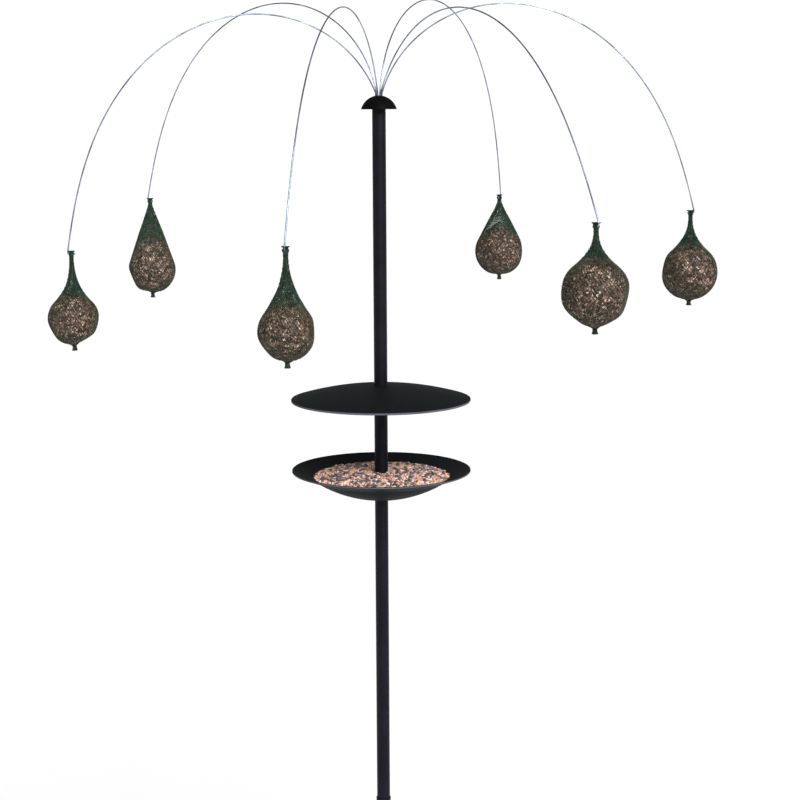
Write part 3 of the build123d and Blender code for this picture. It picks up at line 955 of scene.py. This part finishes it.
class FEEDER_OT_press_fat_balls(bpy.types.Operator):
    """Press the suet balls and stud them with seed"""

    bl_idname = "feeder.press_fat_balls"
    bl_label = "Press Fat Balls"

    def execute(self, context):
        sizes = context.scene.feeder_fat_balls
        suet = pressed_suet()
        studs = mixed_grain(
            "seed_in_suet", ("#7d5c50", "#4c3226", "#c2a797", "#1b1413", "#8f6c58")
        )
        scatter = grain_tree()
        for number in range(1, len(ARMS) + 1):
            body = suet_mesh(number, sizes.lumps, context.scene.feeder_wires.hook_radius)
            seeds = grown(
                f"seeds_{number}",
                body.copy(),
                scatter,
                {
                    "Spacing": sizes.spacing,
                    "Grain size": 0.5,
                    "Tilt": 0.3,
                    "Lift": -0.2 * MM,
                    "Seed": 20 + number,
                    "Finish": studs,
                },
            )
            body.materials.append(suet)
            piece = new_object(f"suet_ball_{number}", joined(f"suet_ball_{number}", [body, seeds]))
            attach(piece, f"feeder_{number}")
            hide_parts(f"fat_ball_{number}")
        return {"FINISHED"}


def suet_mesh(number, lumps, hook_r):
    """A lumpy ball, pressed flat where its bag is and drawn up inside the neck."""
    centre, radius = ball(number)
    mesh = bpy.data.meshes.new("suet")
    shell = bmesh.new()
    bmesh.ops.create_icosphere(shell, subdivisions=5, radius=1.0)
    shell.to_mesh(mesh)
    shell.free()
    directions = vertices(mesh)
    neck, leave = bag_neck(number, hook_r, radius)
    across, up = np.array(neck).T
    from_top = np.arccos(np.clip(directions[:, 2], -1, 1))
    to_net = np.interp(from_top, np.arctan2(across, up), np.hypot(across, up))
    drawn = ARMS[number - 1][3] * np.where(from_top < leave, to_net - radius, 0)
    reach = (radius - SUET_INSET) * pressed_flat(directions, number) + drawn
    draw = Vector((number * 3.1, number * 1.7, 0.0))
    coarse, fine = LUMP_SCALES
    rough = np.array([
        noise.noise(Vector(d) * coarse + draw) + 0.8 * noise.noise(Vector(d) * fine + draw)
        for d in directions
    ])
    rows = directions * (reach + lumps * np.clip(rough, -1.2, 0.35))[:, None]
    set_vertices(mesh, rows + np.array(centre))
    mesh.polygons.foreach_set("use_smooth", [True] * len(mesh.polygons))
    return mesh


class FEEDER_OT_knit_nets(bpy.types.Operator):
    """Knit the net bags with their necks, knots, tufts and tails"""

    bl_idname = "feeder.knit_nets"
    bl_label = "Knit Nets"

    def execute(self, context):
        sizes = context.scene.feeder_nets
        wire = context.scene.feeder_wires
        green = knitted_polyethylene()
        knit, tube = net_tree(), tube_tree()
        for number in range(1, len(ARMS) + 1):
            centre, radius = ball(number)
            line, outward, bunched, clear = bag_profile(
                number, wire.hook_radius, radius + sizes.strand * 0.6, sizes.course, sizes.tuft
            )
            base = line_mesh(
                f"bag_line_{number}", [centre + Vector((r, 0, z)) for r, z in line]
            )
            stored = {
                "outward": ("FLOAT_VECTOR", "vector", [c for r, z in outward for c in (r, 0, z)]),
                "thick": ("FLOAT", "value", 1 + 0.35 * clear - 0.5 * bunched),
                "gather": ("FLOAT", "value", bunched),
                "clean": ("FLOAT", "value", clear),
            }
            for name, (kind, field, values) in stored.items():
                base.attributes.new(name, kind, "POINT").data.foreach_set(field, values)
            bag = grown(
                f"bag_{number}",
                base,
                knit,
                {
                    "Axis point": centre,
                    "Wales": sizes.wales,
                    "Strand diameter": sizes.strand,
                    "Over and under": sizes.strand * 0.35,
                    "Finish": green,
                },
            )
            knot = (KNOT_R, hook(number)[0].z - KNOT_DROP)
            tail = (TAIL_TIE_R, centre.z - radius - TAIL_TIE_DROP)
            winding = {"Diameter": TWINE_D, "Sides": 6, "Finish": green}
            ties = [
                grown(f"tie_{number}", twine_mesh(centre, *place), tube, winding)
                for place in (knot, tail)
            ]
            mesh = joined(f"knitted_net_{number}", [bag, *ties])
            hang_net(mesh, number, wire)
            net = new_object(f"knitted_net_{number}", mesh)
            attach(net, f"feeder_{number}")
            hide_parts(f"net_{number}")
        return {"FINISHED"}


def twine_mesh(centre, radius, height):
    """The line of a few turns of twine round a net's axis, marked as clean of grease."""
    line = [
        Vector((
            centre.x + radius * math.cos(a), centre.y + radius * math.sin(a),
            height + TWINE_RISE * (a / math.pi - TWINE_TURNS),
        ))
        for a in np.linspace(0, 2 * TWINE_TURNS * math.pi, 18 * TWINE_TURNS)
    ]
    twine = line_mesh("twine", line)
    clean = twine.attributes.new("clean", "FLOAT", "POINT")
    clean.data.foreach_set("value", [1.0] * len(line))
    return twine


def hang_net(mesh, number, wire):
    """Press the bag's sides flat with its suet, and open an eye in the neck round the hook."""
    centre, radius = ball(number)
    arc_centre, outward, normal = hook(number)
    rows = vertices(mesh) - np.array(centre)
    far = np.linalg.norm(rows, axis=1)
    share = pressed_flat(rows / far[:, None], number)
    on_ball = 1 - smoothstep(radius * 1.02, radius * 1.35, far)
    rows *= (1 + (share - 1) * on_ball)[:, None]
    rows += np.array(centre)
    # The hook may swing anywhere in a ring about its arc's centre, so strands there stand aside.
    away = rows - np.array(arc_centre)
    ring = np.hypot(away @ np.array(outward), away[:, 2])
    aside = away @ np.array(normal)
    clear = wire.diameter / 2 + HOOK_ROOM
    inner, outer = wire.hook_radius - HOOK_REACH, wire.hook_radius + HOOK_REACH
    ramp = 0.6 * MM
    near = smoothstep(inner, inner + ramp, ring) * (1 - smoothstep(outer - ramp, outer, ring))
    spread_to = np.sign(aside) * (clear + 0.75 * np.abs(aside))
    rows += ((spread_to - aside) * near * (ring < outer))[:, None] * np.array(normal)
    set_vertices(mesh, rows)


class FEEDER_OT_fill_tray(bpy.types.Operator):
    """Heap loose mixed seed in the tray"""

    bl_idname = "feeder.fill_tray"
    bl_label = "Fill Tray"

    def execute(self, context):
        sizes = context.scene.feeder_seed
        loose = mixed_grain(
            "mixed_seed", ("#dcb8ab", "#c28f78", "#f4e4da", "#5c5a62", "#dfab86")
        )
        bed = seed_bed(sizes.crown)
        grains = grown(
            "loose_grains",
            bed.copy(),
            grain_tree(),
            {
                "Spacing": sizes.spacing,
                "Grain size": 1.05,
                "Tilt": 0.8,
                "Lift": 0.7 * MM,
                "Steepest": 0.35,
                "Seed": 5,
                "Finish": loose,
            },
        )
        bed.materials.append(loose)
        heap = new_object("seed_heap", joined("seed_heap", [bed, grains]))
        settle_in_tray(heap.data)
        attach(heap, "tray")
        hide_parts("seed_fill")
        return {"FINISHED"}


def settle_in_tray(mesh):
    """Lift what reaches through the bowl or the flange on to them, and keep clear of the pole."""
    low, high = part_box("seed_fill")
    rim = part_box("tray_bowl")[1]
    flange_r, tube_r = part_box("tray_collar")[1].x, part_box("pole_upper")[1].x + SEED_GAP
    mouth_r, mouth_z = high.x + 1.3 * MM, high.z + 0.8 * MM
    rows = vertices(mesh)
    r = np.hypot(rows[:, 0], rows[:, 1])
    sag = (high.z - low.z) / (high.x**2 - flange_r**2)
    bowl = low.z + sag * (r**2 - flange_r**2)
    flange = mouth_z + (r - mouth_r) * (rim.z - mouth_z) / (rim.x - mouth_r)
    rows[:, 2] = np.maximum(rows[:, 2], np.where(r < mouth_r, bowl, flange))
    rows[:, :2] *= np.maximum(1, tube_r / np.maximum(r, 1e-6))[:, None]
    set_vertices(mesh, rows)


def seed_bed(crown):
    """The heap's closed body: its uneven top, and an underside just clear of the bowl."""
    low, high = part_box("seed_fill")
    collar_low, collar_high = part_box("tray_collar")
    tube_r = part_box("pole_upper")[1].x + BED_GAP
    collar_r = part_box("tray_screw")[1].y + SEED_GAP
    flange_r, edge_r = collar_high.x + BED_GAP, high.x + BED_GAP
    sag = (high.z - low.z) / (high.x**2 - flange_r**2)
    rings = [(tube_r + (edge_r - tube_r) * i / TOP_RINGS, None) for i in range(TOP_RINGS + 1)]
    for i in range(UNDER_RINGS, -1, -1):
        r = flange_r + (edge_r - flange_r) * i / UNDER_RINGS
        rings.append((r - SEED_GAP, low.z + sag * (r * r - flange_r**2) + 0.2 * MM))
    rings += [
        (flange_r, collar_low.z + 3.0 * MM), (collar_r, collar_low.z + 3.2 * MM),
        (collar_r, collar_high.z + BED_GAP), (tube_r, collar_high.z + BED_GAP),
    ]
    points = []
    for r, z in rings:
        for k in range(BED_SIDES):
            turn = 2 * math.pi * k / BED_SIDES
            spot = Vector((r * math.cos(turn), r * math.sin(turn), 0))
            top = high.z + crown * (1 - (r / edge_r) ** 5)
            top += 1.3 * MM * noise.noise(spot * 90) + 0.9 * MM * noise.noise(spot * 260)
            points.append((spot.x, spot.y, top if z is None else z))
    faces = []
    for i in range(len(rings)):
        here, below = i * BED_SIDES, (i + 1) % len(rings) * BED_SIDES
        for k in range(BED_SIDES):
            on = (k + 1) % BED_SIDES
            faces.append((here + k, below + k, below + on, here + on))
    return mesh_of("seed_bed", points, faces)


class FEEDER_OT_set_stage(bpy.types.Operator):
    """Lay the floor and set the light and the camera"""

    bl_idname = "feeder.set_stage"
    bl_label = "Set Stage"

    def execute(self, context):
        sizes = context.scene.feeder_stage
        scene = context.scene
        paper = matt_paper("#ffffff")
        corners = [
            (x * FLOOR_REACH, y * FLOOR_REACH, 0) for x, y in ((-1, -1), (1, -1), (1, 1), (-1, 1))
        ]
        floor = new_object("floor", mesh_of("floor", corners, [(0, 1, 2, 3)]))
        floor.data.materials.append(paper)
        world = bpy.data.worlds.new("soft_sky")
        world.use_nodes = True
        # The white surroundings are seen at full strength, and light the object as a dimmer fill.
        seen = add_node(world.node_tree, "ShaderNodeLightPath").outputs["Is Camera Ray"]
        strength = add_node(
            world.node_tree, "ShaderNodeMapRange", [(0, seen), (3, sizes.fill), (4, sizes.backdrop)]
        )
        feed(world.node_tree, world.node_tree.nodes["Background"], [
            ("Color", linear("#ffffff")), ("Strength", strength),
        ])
        scene.world = world
        scene.view_settings.view_transform = "Standard"
        lamp = bpy.data.lights.new("soft_key", "SUN")
        lamp.energy, lamp.angle = sizes.key, KEY_ANGLE
        key = bpy.data.objects.new("soft_key", lamp)
        key.rotation_euler = Vector(KEY_DIRECTION).to_track_quat("-Z", "Y").to_euler()
        scene.collection.objects.link(key)
        lens = bpy.data.cameras.new("camera")
        lens.sensor_width, lens.lens, lens.shift_x = 36.0, sizes.lens, CAMERA_SHIFT
        camera = bpy.data.objects.new("camera", lens)
        turned = Matrix.Rotation(math.radians(90) + CAMERA_PITCH, 4, "X")
        turned @= Matrix.Rotation(CAMERA_ROLL, 4, "Z")
        camera.matrix_world = Matrix.Translation(CAMERA_PLACE) @ turned
        scene.collection.objects.link(camera)
        scene.camera = camera
        return {"FINISHED"}


class FEEDER_PT_panel(bpy.types.Panel):
    """The feeder's sizes and the steps that build it"""

    bl_idname = "FEEDER_PT_panel"
    bl_label = "Pole Bird Feeder"
    bl_space_type = "VIEW_3D"
    bl_region_type = "UI"
    bl_category = "Feeder"

    def draw(self, context):
        for name, group in SETTINGS.items():
            column = self.layout.column(heading=name.replace("_", " ").capitalize())
            for field in group.__annotations__:
                column.prop(getattr(context.scene, name), field)
        for operator in OPERATORS:
            self.layout.operator(operator.bl_idname)


OPERATORS = (
    FEEDER_OT_finish_pole,
    FEEDER_OT_finish_roof_and_tray,
    FEEDER_OT_bend_wires,
    FEEDER_OT_press_fat_balls,
    FEEDER_OT_knit_nets,
    FEEDER_OT_fill_tray,
    FEEDER_OT_set_stage,
)
CLASSES = (*SETTINGS.values(), *OPERATORS, FEEDER_PT_panel)


def register():
    for cls in CLASSES:
        bpy.utils.register_class(cls)
    for name, group in SETTINGS.items():
        setattr(bpy.types.Scene, name, bpy.props.PointerProperty(type=group))


def unregister():
    for name in SETTINGS:
        delattr(bpy.types.Scene, name)
    for cls in reversed(CLASSES):
        bpy.utils.unregister_class(cls)


def main():
    register()
    for operator in OPERATORS:
        group, name = operator.bl_idname.split(".")
        getattr(getattr(bpy.ops, group), name)()


if __name__ == "__main__":
    main()
